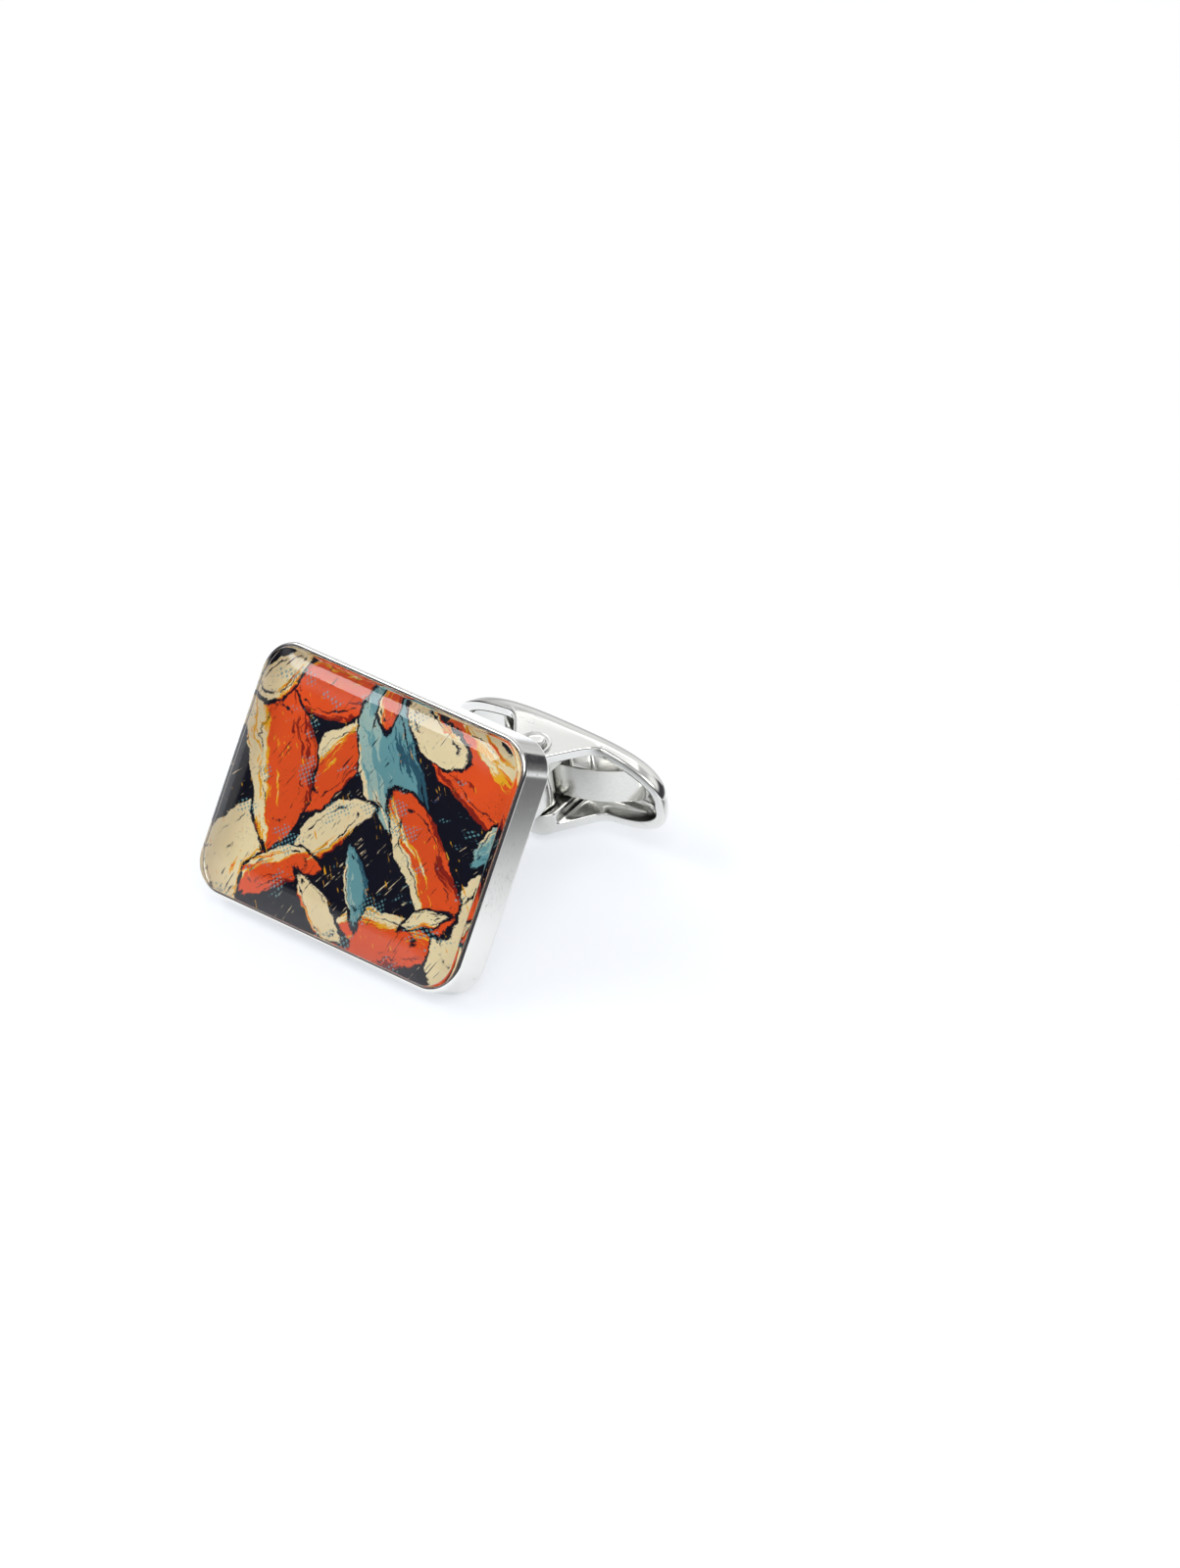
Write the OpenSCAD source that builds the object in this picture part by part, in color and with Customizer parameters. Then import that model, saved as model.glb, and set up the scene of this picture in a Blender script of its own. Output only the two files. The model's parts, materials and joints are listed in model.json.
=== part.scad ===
// Cufflink with a glazed picture face and a swivelling toggle.
// The face leans back at rest: the case's lower back edge and the lower rivet head touch the table.
// Modelled in the face's own frame (X across, Y up the face, Z out of its front, back of the case
// at Z = 0) and then leaned into the resting frame (X across, Y to the rear, Z up, table at Z = 0).

/* [Case] */
// Width of the case across the face
case_w = 22; // [18:0.5:26]
// Height of the case up the face
case_h = 17.2; // [14:0.2:20]
// Depth of the case from its back to its rim
case_d = 3; // [2.6:0.1:4]
// Radius of the four corners seen from the front
case_corner_r = 2.4; // [2:0.1:3]
// Thickness of the wall round the face
rim_t = 0.35; // [0.3:0.05:0.7]
// Thickness of the case's back
back_t = 0.9; // [0.7:0.05:1.2]
// Rounding between the back and the sides
back_edge_r = 0.55; // [0.3:0.05:0.8]
// Rounding of the rim's outer edge
rim_edge_r = 0.2; // [0.1:0.05:0.3]

/* [Face] */
// Thickness of the adhesive under the print
adhesive_t = 0.1; // [0.05:0.05:0.2]
// Thickness of the printed film
print_t = 0.12; // [0.08:0.02:0.2]
// Height of the lens above the rim
lens_proud = 1.2; // [0.9:0.05:1.6]
// Height of the lens's upright side above the rim
lens_side = 0.4; // [0.2:0.05:0.6]
// Width of the rounded border of the lens
lens_border_w = 2.6; // [1.8:0.1:3]
// Corner radius of the flat table inside that border
lens_table_r = 0.8; // [0.4:0.1:1.2]
// Gap all round between the lens and the rim
lens_gap = 0.04; // [0.02:0.01:0.1]
// Gap all round between the film and the rim
film_gap = 0.1; // [0.05:0.05:0.2]

/* [Post] */
// Distance of the swivel pin behind the case
pin_reach = 15.1; // [13:0.1:18]
// Height of the swivel pin over the middle of the face
pin_rise = 3.6; // [2.6:0.1:4.6]
// Angle between the toggle and the face
toggle_tilt = 40; // [34:1:44]
// Thickness of the post across the face
post_t = 1.9; // [1.7:0.1:2.3]
// Height of the post where it meets its foot
root_h = 7.2; // [6:0.1:8.4]
// Distance of the post's root below the middle of the face
root_drop = 0.35; // [0:0.05:0.8]
// Width of the tongue at the swivel pin
tongue_w = 3; // [2.4:0.1:3.4]
// Length of the straight tongue from the pin to the bend
tongue_l = 3.2; // [2.8:0.1:3.8]
// Length of the window through the post
window_l = 5.8; // [4:0.1:6.4]
// Height of the window at its flat end
window_h = 2.9; // [2:0.1:3.2]
// Distance of the window's flat end from the case
window_start = 1.8; // [1.4:0.1:2.4]
// Distance of the window below the middle of the face
window_drop = 0.75; // [0.4:0.05:1.1]
// Thickness of the foot pad
foot_t = 0.4; // [0.3:0.05:0.6]
// Margin of the foot pad beside the post
foot_margin = 0.3; // [0.2:0.05:0.5]

/* [Toggle] */
// Length of the toggle
toggle_l = 17.6; // [15:0.2:20]
// Width of the toggle at its rim
toggle_w = 6.5; // [6.2:0.1:7.6]
// Depth of the toggle from its rim to its crown
crown_h = 2.4; // [2:0.1:3]
// Distance of the rim beyond the swivel pin
rim_drop = 2.1; // [1.8:0.1:2.6]
// Thickness of the toggle's wall
toggle_t = 0.7; // [0.5:0.05:0.9]
// Radius of the two lugs round the pin
lug_r = 1.4; // [1.2:0.05:1.6]
// Half length of the rise from the rim to each lug
lug_run = 3.4; // [3:0.1:4.2]
// Half length of the solid yoke between the pockets
yoke_half_l = 1.4; // [1.3:0.1:2]
// Gap on each side between the tongue and the lugs
tongue_gap = 0.15; // [0.1:0.05:0.25]
// Depth of the slot between the lugs below the pin
slot_drop = 1.75; // [1.6:0.05:2]
// Diameter of the boss round each end of the pin
boss_d = 2.4; // [2.1:0.1:2.8]
// Height of the boss over the widest part of the wall
boss_h = 0.15; // [0.1:0.05:0.3]

/* [Swivel] */
// Diameter of the rivet
rivet_d = 1.2; // [1:0.05:1.4]
// Running gap all round between the rivet and the post's bore
rivet_gap = 0.05; // [0.03:0.01:0.08]
// Diameter of the rivet's heads
head_d = 1.85; // [1.7:0.05:2.2]
// Height of the rivet's heads
head_h = 0.5; // [0.4:0.05:0.7]
// Rounding of the heads' outer edge
head_edge_r = 0.3; // [0.2:0.05:0.35]
// Width of the leaf spring
leaf_w = 2.6; // [2:0.1:2.8]
// Thickness of the leaf spring
leaf_t = 0.18; // [0.12:0.02:0.24]
// Distance between the ends of the leaf spring, which stand in the pockets
leaf_span = 12; // [9:0.2:13]
// Gap between the tongue's round end and the leaf
leaf_gap = 0.08; // [0.05:0.01:0.12]

/* [Hidden] */
$fn = 48;

// Overrun that lets a cut pass clean through a face
over = 0.5;

// Levels of the face's layers above the back of the case
film_z = back_t + adhesive_t;
lens_z = film_z + print_t;
lens_top = case_d + lens_proud;
border_rise = lens_proud - lens_side;
border_r = (lens_border_w * lens_border_w + border_rise * border_rise) / (2 * border_rise);
border_angle = asin(lens_border_w / border_r);
border_steps = 8;

// Openings inside the rim
well_w = case_w - 2 * rim_t;
well_h = case_h - 2 * rim_t;
well_r = case_corner_r - rim_t;

// Tongue and toggle
tongue_r = post_t / 2;
slot_w = tongue_w + 2 * tongue_gap;
inner_l = toggle_l - 2 * toggle_t;
bore_d = rivet_d + 2 * rivet_gap;
half_w = toggle_w / 2;
boss_y = half_w + boss_h;
head_y = boss_y + head_h;

// Powers that round the toggle's plan, side and cross-section outside and inside, and the share of
// its half length where it ends flat
plan_power = 2.6;
side_power = 5;
outer_power = 0.88;
inner_power = 0.6;
end_share = 0.995;
ring_count = 32;
arc_count = 14;

// Curves of the post's upper and lower edges, aimed at shares of the pin's reach and the root's height
top_root_share = [0.35, 0.3];
low_root_share = [0.3, -0.62];
top_aim_share = 0.25;
low_aim_share = 1.9;
outline_steps = 14;
window_steps = 24;
bow_steps = 144;

// Rest on the table: the rounded lower back edge of the case and the rounded rim of the lower head
edge_y = -case_h / 2 + back_edge_r;
edge_z = back_edge_r;
rest_out = head_y - head_edge_r;
rest_side = head_d / 2 - head_edge_r;
rest_y = pin_rise - rest_out * cos(toggle_tilt) - rest_side * sin(toggle_tilt);
rest_z = -pin_reach - rest_out * sin(toggle_tilt) + rest_side * cos(toggle_tilt);
rest_l = norm([rest_y - edge_y, rest_z - edge_z]);
lean = atan2(rest_y - edge_y, edge_z - rest_z) - asin((head_edge_r - back_edge_r) / rest_l);
lift = back_edge_r - edge_y * cos(lean) - edge_z * sin(lean);

// Front and rear reach of the leaned part, which set its middle
lens_low = -well_h / 2 + lens_gap + lens_border_w;
front_y = lens_low * sin(lean) - (lens_top - border_r) * cos(lean) - border_r;
axis_tilt = toggle_tilt - lean;
rim_rise = pin_rise + rim_drop * sin(toggle_tilt);
rim_reach = pin_reach + rim_drop * cos(toggle_tilt);
crown_y = rim_rise * sin(lean) + rim_reach * cos(lean);
reach_power = 2 / (2 - outer_power);
side_reach = pow(half_w * sin(axis_tilt), reach_power);
depth_reach = pow(crown_h * cos(axis_tilt), reach_power);
rear_y = crown_y + pow(side_reach + depth_reach, 1 / reach_power);
middle_y = (front_y + rear_y) / 2;

// Point of the swivel frame (y along the pin, z towards the case) in the post's side outline,
// which has the distance behind the case first and the height second
function swivel_point(y, z) = [
    pin_reach - y * sin(toggle_tilt) - z * cos(toggle_tilt),
    pin_rise + y * cos(toggle_tilt) - z * sin(toggle_tilt)
];

// Points of a cubic curve with its ends left out
function curve(a, b, c, d, steps) = [
    for (i = [1 : steps - 1])
        let (t = i / steps, s = 1 - t)
        s * s * s * a + 3 * s * s * t * b + 3 * s * t * t * c + t * t * t * d
];

// Leans a solid of the face's frame into the resting frame
module lean_back() {
    translate([0, -middle_y, lift]) rotate([90 - lean, 0, 0]) children();
}

// Places a solid of the swivel frame (x along the toggle, y along the pin, z towards the case)
module at_swivel() {
    translate([0, pin_rise, -pin_reach]) rotate([toggle_tilt, 0, 0]) children();
}

// Flat rectangle with round corners
module round_plate(w, h, r, t) {
    linear_extrude(t) {
        square([w - 2 * r, h], center = true);
        square([w, h - 2 * r], center = true);
        for (x = [-1, 1], y = [-1, 1])
            translate([x * (w / 2 - r), y * (h / 2 - r)]) circle(r);
    }
}

// Rectangular slab whose border is one profile carried round straight sides and round corners.
// The profile's x runs outwards from the centre of a corner, and its y is the height.
module bordered_slab(w, h, r, t) {
    x = w / 2 - r;
    y = h / 2 - r;
    translate([-x, -y, 0]) cube([2 * x, 2 * y, t]);
    for (corner = [[x, y, 0], [-x, y, 90], [-x, -y, 180], [x, -y, 270]])
        translate([corner.x, corner.y, 0]) rotate(corner.z) rotate_extrude(angle = 90) children();
    for (side = [0, 180]) {
        rotate(side) translate([x, y, 0]) rotate([90, 0, 0]) linear_extrude(2 * y) children();
        rotate(side + 90) translate([y, x, 0]) rotate([90, 0, 0]) linear_extrude(2 * x) children();
    }
}

// Border of the case: round at the back edge and lightly round at the rim
module case_border() {
    square([case_corner_r - back_edge_r, case_d - rim_edge_r]);
    translate([0, back_edge_r]) square([case_corner_r - rim_edge_r, case_d - back_edge_r]);
    difference() {
        square([case_corner_r, case_d - rim_edge_r]);
        translate([case_corner_r - back_edge_r, 0]) square(back_edge_r);
    }
    translate([case_corner_r - back_edge_r, back_edge_r]) circle(back_edge_r);
    translate([case_corner_r - rim_edge_r, case_d - rim_edge_r]) circle(rim_edge_r);
}

// Side outline of the post: distance behind the case, then height
module post_outline() {
    half_tongue = tongue_w / 2;
    root_top = root_h / 2 - root_drop;
    root_low = -root_h / 2 - root_drop;
    top_bend = swivel_point(half_tongue, tongue_l);
    low_bend = swivel_point(-half_tongue, tongue_l);
    polygon(concat(
        [[0, root_low]],
        curve([0, root_low],
            [low_root_share.x * pin_reach, low_root_share.y * root_h],
            swivel_point(-half_tongue, low_aim_share * tongue_l), low_bend, outline_steps),
        [low_bend, swivel_point(-half_tongue, 0), swivel_point(half_tongue, 0), top_bend],
        curve(top_bend, swivel_point(half_tongue, (1 + top_aim_share) * tongue_l),
            [top_root_share.x * pin_reach, top_root_share.y * root_h],
            [0, root_top], outline_steps),
        [[0, root_top]]
    ));
}

// Bullet-shaped window of the post: flat towards the case, round towards the toggle
module window_outline() {
    polygon([
        for (i = [0 : window_steps])
            let (angle = 180 * i / window_steps - 90)
            [window_start + window_l * cos(angle), window_h / 2 * sin(angle) - window_drop]
    ]);
}

// Extrudes a side outline of the post across the face, centred on it
module across_face(t) {
    rotate([0, 90, 0]) translate([0, 0, -t / 2]) linear_extrude(t) children();
}

// Extrudes an outline of the toggle's side along the pin, centred on it
module along_pin(t) {
    rotate([90, 0, 0]) translate([0, 0, -t / 2]) linear_extrude(t) children();
}

// Round bar or bore along the pin, centred on it
module pin_bar(d, l) {
    rotate([90, 0, 0]) cylinder(d = d, h = l, center = true);
}

// Side view of the toggle: a flat rim that rises to a lug round the pin
module toggle_side() {
    reach = norm([lug_run, rim_drop]);
    touch = acos(lug_r / reach) - atan2(rim_drop, lug_run);
    circle(lug_r);
    polygon([
        [-lug_r * cos(touch), lug_r * sin(touch)],
        [-lug_run, -rim_drop],
        [-toggle_l, -rim_drop],
        [-toggle_l, -rim_drop - crown_h - over],
        [toggle_l, -rim_drop - crown_h - over],
        [toggle_l, -rim_drop],
        [lug_run, -rim_drop],
        [lug_r * cos(touch), lug_r * sin(touch)]
    ]);
}

// Share of the full width, and of the full depth, at a share of the half length
function plan_share(u) = pow(1 - pow(abs(u), plan_power), 1 / plan_power);
function depth_share(u) = pow(1 - pow(abs(u), side_power), 1 / 2);

// Signed share that makes a cross-section fuller than an ellipse
function fuller(share, power) = sign(share) * pow(abs(share), power);

// Boat-shaped body with upright sides that rise over its rim, skinned over rings along its length
module boat(l, w, h, rise, power) {
    rings = [for (i = [0 : ring_count]) -end_share * cos(180 * i / ring_count)];
    points = [
        for (u = rings)
            let (y = w / 2 * plan_share(u), z = h * depth_share(u))
            each concat(
                [[u * l / 2, -y, rise]],
                [for (j = [0 : arc_count])
                    let (angle = 180 * j / arc_count)
                    [u * l / 2, -y * fuller(cos(angle), power), -z * fuller(sin(angle), power)]],
                [[u * l / 2, y, rise]]
            )
    ];
    row = arc_count + 3;
    polyhedron(points, concat(
        [[for (j = [0 : row - 1]) j]],
        [for (i = [0 : ring_count - 1], j = [0 : row - 1])
            let (a = i * row + j, b = i * row + (j + 1) % row)
            each [[a, a + row, b + row], [a, b + row, b]]],
        [[for (j = [row - 1 : -1 : 0]) ring_count * row + j]]
    ));
}

module case() {
    color("silver") lean_back() difference() {
        bordered_slab(case_w, case_h, case_corner_r, case_d) case_border();
        translate([0, 0, back_t]) round_plate(well_w, well_h, well_r, case_d);
    }
}

module adhesive_pad() {
    color("ivory") lean_back() translate([0, 0, back_t])
        round_plate(well_w - 2 * film_gap, well_h - 2 * film_gap, well_r - film_gap, adhesive_t);
}

module print_film() {
    color("orangered") lean_back() translate([0, 0, film_z])
        round_plate(well_w - 2 * film_gap, well_h - 2 * film_gap, well_r - film_gap, print_t);
}

// Upright side under a soft arc that rises to the flat table, skinned over shrinking plates
module lens() {
    w = well_w - 2 * lens_gap;
    h = well_h - 2 * lens_gap;
    r = well_r - lens_gap;
    side_t = case_d + lens_side - lens_z;
    color([0.85, 0.93, 0.96, 0.4]) lean_back() translate([0, 0, lens_z]) hull() {
        round_plate(w, h, r, side_t);
        for (i = [0 : border_steps - 1])
            let (angle = border_angle * i / border_steps,
                inset = lens_border_w - border_r * sin(angle),
                drop = border_r * (1 - cos(angle)))
            round_plate(w - 2 * inset, h - 2 * inset,
                r + (lens_table_r - r) * inset / lens_border_w, side_t + border_rise - drop);
    }
}

module post() {
    color("gainsboro") lean_back() difference() {
        union() {
            across_face(post_t) post_outline();
            at_swivel() pin_bar(post_t, tongue_w);
            translate([0, -root_drop, -foot_t]) linear_extrude(foot_t)
                square([post_t + 2 * foot_margin, root_h + 2 * foot_margin], center = true);
        }
        across_face(post_t + over) window_outline();
        at_swivel() pin_bar(bore_d, tongue_w + over);
    }
}

// Hollow of the toggle: a pocket at each end, joined by the slot through the yoke
module toggle_hollow() {
    difference() {
        translate([0, 0, -rim_drop])
            boat(inner_l, toggle_w - 2 * toggle_t, crown_h - toggle_t,
                rim_drop + lug_r + 2 * over, inner_power);
        cube([2 * yoke_half_l, toggle_w, toggle_l], center = true);
    }
    translate([-yoke_half_l - over, -slot_w / 2, -slot_drop])
        cube([2 * (yoke_half_l + over), slot_w, slot_drop + lug_r + over]);
}

module toggle_bar() {
    color("lightgray") lean_back() at_swivel() difference() {
        union() {
            intersection() {
                translate([0, 0, -rim_drop])
                    boat(toggle_l, toggle_w, crown_h, rim_drop + lug_r + over, outer_power);
                along_pin(toggle_w + over) toggle_side();
            }
            pin_bar(boss_d, 2 * boss_y);
        }
        toggle_hollow();
        pin_bar(rivet_d, 2 * boss_y + over);
    }
}

// Domed head of the rivet, standing on its flat side
module rivet_head() {
    rotate_extrude() {
        square([head_d / 2, head_h - head_edge_r]);
        square([head_d / 2 - head_edge_r, head_h]);
        translate([head_d / 2 - head_edge_r, head_h - head_edge_r]) intersection() {
            circle(head_edge_r);
            square(head_edge_r);
        }
    }
}

module swivel_rivet() {
    color("silver") lean_back() at_swivel() {
        pin_bar(rivet_d, 2 * boss_y);
        for (turn = [-90, 90]) rotate([turn, 0, 0]) translate([0, 0, boss_y]) rivet_head();
    }
}

// Bowed strip that bears on the tongue's round end and is cut off where it meets the pockets' floors
module leaf_spring() {
    crest = tongue_r + leaf_gap;
    floor_drop = rim_drop + (crown_h - toggle_t) * depth_share(leaf_span / inner_l);
    arch = floor_drop - crest;
    bow_r = (leaf_span * leaf_span / 4 + arch * arch) / (2 * arch);
    color("darkgray") lean_back() at_swivel() intersection() {
        along_pin(leaf_w) translate([0, -crest - bow_r]) difference() {
            circle(bow_r, $fn = bow_steps);
            circle(bow_r - leaf_t, $fn = bow_steps);
        }
        toggle_hollow();
    }
}

case();
adhesive_pad();
print_film();
lens();
post();
toggle_bar();
swivel_rivet();
leaf_spring();
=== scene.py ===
"""Dresses the packed cufflink: plated case, lens, print, post, swivelling toggle and the studio."""
import json
from math import acos, asin, atan2, cos, pi, radians, sin, sqrt, tan

import bmesh
import bpy
import numpy as np
from mathutils import Matrix, Vector
from mathutils.geometry import tessellate_polygon


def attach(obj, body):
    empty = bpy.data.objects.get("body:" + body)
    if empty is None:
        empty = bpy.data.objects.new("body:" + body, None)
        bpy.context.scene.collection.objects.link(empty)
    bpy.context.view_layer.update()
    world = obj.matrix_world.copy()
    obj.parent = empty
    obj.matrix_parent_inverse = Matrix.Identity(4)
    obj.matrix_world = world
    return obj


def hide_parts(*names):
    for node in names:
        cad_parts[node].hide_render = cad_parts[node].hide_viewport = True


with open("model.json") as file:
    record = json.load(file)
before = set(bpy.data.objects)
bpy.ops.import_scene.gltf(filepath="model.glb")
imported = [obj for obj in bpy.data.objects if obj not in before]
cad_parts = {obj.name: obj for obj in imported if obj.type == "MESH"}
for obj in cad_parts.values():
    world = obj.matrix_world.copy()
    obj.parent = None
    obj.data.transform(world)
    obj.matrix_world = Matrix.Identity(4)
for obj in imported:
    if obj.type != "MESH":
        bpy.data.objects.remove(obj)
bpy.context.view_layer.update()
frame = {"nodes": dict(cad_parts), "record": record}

bl_info = {
    "name": "Cufflink",
    "version": (1, 0, 0),
    "blender": (4, 5, 0),
    "location": "3D View > Sidebar > Cufflink",
    "description": "Builds the looks of a glazed cufflink round its CAD frame",
    "category": "Object",
}

MOUNTS = {m["name"]: m for m in frame["record"]["mounts"]}
HINGE = frame["record"]["behaviour"]["joints"][0]

MM = 0.001
# Sizes in metres below which two points are one, an edge is a sliver, a corner is sharp.
MERGED, SLIVER, SHARPEST = 1e-7, 1e-8, 1e-5


# ---- settings

def mm(default, text):
    """A size, given in millimetres and kept in metres."""
    kind = {"precision": 5, "unit": "LENGTH", "subtype": "DISTANCE"}
    return bpy.props.FloatProperty(name=text, default=default * MM, min=0.0, **kind)


def share(default, text):
    """A plain number."""
    return bpy.props.FloatProperty(name=text, default=default, precision=3)


def colour(default, text):
    """A colour, given in linear values."""
    return bpy.props.FloatVectorProperty(name=text, default=default, size=3, min=0.0, max=1.0,
                                         subtype="COLOR")


def ink(red, green, blue):
    """Linear values of a colour that is written as it looks on screen, each from 0 to 255."""
    return tuple((v / 255 / 12.92) if v <= 10 else ((v / 255 + 0.055) / 1.055) ** 2.4
                 for v in (red, green, blue))


class CufflinkFaceSettings(bpy.types.PropertyGroup):
    """Sizes of the case, the lens and the layers under it."""
    case_w: mm(22, "Case width")
    case_h: mm(17.2, "Case height")
    case_d: mm(3, "Case depth")
    corner_r: mm(2.4, "Case corner radius")
    rim_t: mm(0.35, "Rim thickness")
    back_t: mm(0.9, "Back thickness")
    back_edge_r: mm(0.55, "Back edge rounding")
    rim_edge_r: mm(0.2, "Outer rim rounding")
    lip_r: mm(0.08, "Inner rim rounding")
    adhesive_t: mm(0.1, "Adhesive thickness")
    print_t: mm(0.12, "Film thickness")
    lens_proud: mm(1.2, "Lens height over the rim")
    lens_side: mm(0.4, "Lens side height")
    lens_border_w: mm(2.6, "Lens border width")
    lens_table_r: mm(0.8, "Lens table corner radius")
    lens_foot_r: mm(0.08, "Lens foot rounding")
    lens_edge_r: mm(0.12, "Lens edge rounding")
    bond_t: mm(0.03, "Film depth in the lens")
    lens_gap: mm(0.04, "Gap round the lens")
    film_gap: mm(0.1, "Gap round the film")


class CufflinkPrintSettings(bpy.types.PropertyGroup):
    """Colours of the printed film."""
    ground: colour(ink(22, 24, 38), "Dark ground")
    warm: colour(ink(246, 92, 42), "Orange-red")
    deep: colour(ink(150, 42, 30), "Dark red")
    pale: colour(ink(255, 240, 194), "Cream")
    cool: colour(ink(112, 172, 182), "Teal")
    spark: colour(ink(252, 188, 44), "Amber")
    cool_dark: colour(ink(52, 98, 118), "Dark teal")
    cool_light: colour(ink(170, 206, 200), "Light teal")
    night_dark: colour(ink(10, 10, 18), "Darkest ground")
    night_light: colour(ink(48, 56, 84), "Lightest ground")


class CufflinkPostSettings(bpy.types.PropertyGroup):
    """Sizes of the post."""
    pin_reach: mm(15.1, "Pin behind the case")
    post_t: mm(1.9, "Post thickness")
    root_h: mm(7.2, "Root height")
    root_drop: mm(0.35, "Root below the middle")
    tongue_w: mm(3, "Tongue width")
    tongue_l: mm(3.2, "Tongue length")
    tongue_edge_r: mm(0.1, "Tongue rounding")
    window_l: mm(5.8, "Window length")
    window_h: mm(2.9, "Window height")
    window_start: mm(1.8, "Window from the case")
    window_drop: mm(0.75, "Window below the middle")
    foot_t: mm(0.4, "Foot thickness")
    foot_margin: mm(0.3, "Foot margin")
    foot_r: mm(0.32, "Foot corner radius")
    foot_edge_r: mm(0.26, "Foot rounding")
    edge_r: mm(0.22, "Long edge rounding")
    rib_share: share(0.004, "Rib depth, share of the window")


class CufflinkToggleSettings(bpy.types.PropertyGroup):
    """Sizes of the toggle, its lugs, its rivet and its spring."""
    toggle_l: mm(17.6, "Toggle length")
    toggle_w: mm(6.5, "Toggle width")
    crown_h: mm(2.4, "Toggle depth")
    rim_drop: mm(2.1, "Rim beyond the pin")
    wall_t: mm(0.7, "Wall thickness")
    lug_r: mm(1.4, "Lug radius")
    lug_run: mm(3.4, "Lug half length")
    lug_blend: mm(0.9, "Lug blend height")
    yoke_half_l: mm(1.4, "Yoke half length")
    yoke_edge_r: mm(0.16, "Yoke edge rounding")
    yoke_fillet: mm(0.2, "Yoke fillet")
    slot_w: mm(3.3, "Slot width")
    slot_z: mm(1.75, "Slot depth below the pin")
    rim_r: mm(0.2, "Outer rim rounding")
    lip_r: mm(0.12, "Inner rim rounding")
    boss_d: mm(2.4, "Boss diameter")
    boss_h: mm(0.15, "Boss height")
    rivet_d: mm(1.2, "Rivet diameter")
    head_d: mm(1.85, "Head diameter")
    head_h: mm(0.5, "Head height")
    head_seat: mm(0.04, "Head seat depth")
    leaf_w: mm(2.6, "Leaf width")
    leaf_t: mm(0.18, "Leaf thickness")
    leaf_span: mm(12, "Leaf span")
    leaf_z: mm(1.03, "Leaf crest below the pin")
    leaf_corner_r: mm(0.5, "Leaf corner radius")
    leaf_edge_r: mm(0.05, "Leaf edge rounding")
    plan_power: share(2.6, "Bluntness in plan")
    side_power: share(5.0, "Bluntness from the side")
    outer_power: share(0.88, "Fullness of the crown")
    inner_power: share(0.6, "Fullness of the pockets")


class CufflinkFinishSettings(bpy.types.PropertyGroup):
    """Finishes of the plated metal, the spring and the lens."""
    plate: colour((0.785, 0.785, 0.762), "Bright plating")
    plate_roughness: share(0.12, "Plating roughness")
    steel: colour((0.86, 0.86, 0.82), "Spring steel")
    glass: colour((0.99, 1.0, 0.995), "Lens")


class CufflinkStageSettings(bpy.types.PropertyGroup):
    """The studio."""
    floor: colour((0.86, 0.87, 0.90), "Pale floor")
    daylight: share(0.62, "Strength of the daylight")
    shade: colour((0.055, 0.052, 0.060), "Dark room in reflections")
    # Painted shade that shiny surfaces see on the floor: outwards, beside the case and under the
    # toggle.
    far_floor: colour((0.18, 0.18, 0.185), "Far floor in reflections")
    # Its colour is also that of the painted glow that shiny surfaces see on the floor near the
    # cufflink.
    lift: colour((0.545, 0.563, 0.588), "Glow seen by the camera")


GROUPS = {
    "cufflink_face": CufflinkFaceSettings,
    "cufflink_print": CufflinkPrintSettings,
    "cufflink_post": CufflinkPostSettings,
    "cufflink_toggle": CufflinkToggleSettings,
    "cufflink_finish": CufflinkFinishSettings,
    "cufflink_stage": CufflinkStageSettings,
}


# ---- places

def basis(across, up, out, origin):
    """Matrix that takes points of a frame with these axes to the row frame."""
    return Matrix.Translation(origin) @ Matrix((across, up, out)).transposed().to_4x4()


def face_place():
    """The face's frame: X across, Y up the face, Z out of its front, back of the case at 0."""
    face = bpy.context.scene.cufflink_face
    mount = MOUNTS["lens_table"]
    across, out = Vector((1, 0, 0)), Vector(mount["axis"])
    return basis(across, out.cross(across), out,
                 Vector(mount["pos_m"]) - out * (face.case_d + face.lens_proud))


def swivel_place():
    """The swivel's frame: x along the toggle, y along the pin, z towards the case."""
    along, pin = Vector((1, 0, 0)), Vector(HINGE["axis"])
    return basis(along, pin, along.cross(pin), Vector(HINGE["pos_m"]))


# ---- meshes

def add_object(name, data):
    """A new object in the scene."""
    thing = bpy.data.objects.new(name, data)
    bpy.context.scene.collection.objects.link(thing)
    return thing


def smooth_piece(name, mesh, crease=35):
    """An object of a merged mesh, shaded smooth but for its creases."""
    work = bmesh.new()
    work.from_mesh(mesh)
    bmesh.ops.remove_doubles(work, verts=work.verts, dist=MERGED)
    bmesh.ops.dissolve_degenerate(work, dist=SLIVER, edges=work.edges)
    bmesh.ops.recalc_face_normals(work, faces=work.faces)
    for face in work.faces:
        face.smooth = True
    for edge in work.edges:
        edge.smooth = len(edge.link_faces) == 2 and edge.calc_face_angle(0) < radians(crease)
    work.to_mesh(mesh)
    work.free()
    piece = add_object(name, mesh)
    normals = piece.modifiers.new("Even normals", "WEIGHTED_NORMAL")
    normals.keep_sharp = True
    return piece


def build(name, shells, place, crease=35):
    """One object of several closed shells, each given as points and faces."""
    points, faces = [], []
    for shell_points, shell_faces in shells:
        start = len(points)
        points += [place @ Vector(p) for p in shell_points]
        faces += [tuple(start + i for i in f) for f in shell_faces]
    mesh = bpy.data.meshes.new(name)
    mesh.from_pydata(points, [], faces)
    return smooth_piece(name, mesh, crease)


def loft(rings, caps=True):
    """Points and faces of a skin over closed rings of equal count."""
    count = len(rings[0])
    faces = [(k * count + i, k * count + (i + 1) % count,
              (k + 1) * count + (i + 1) % count, (k + 1) * count + i)
             for k in range(len(rings) - 1) for i in range(count)]
    if caps:
        faces.append(tuple(range(count))[::-1])
        faces.append(tuple((len(rings) - 1) * count + i for i in range(count)))
    return [p for ring in rings for p in ring], faces


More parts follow.
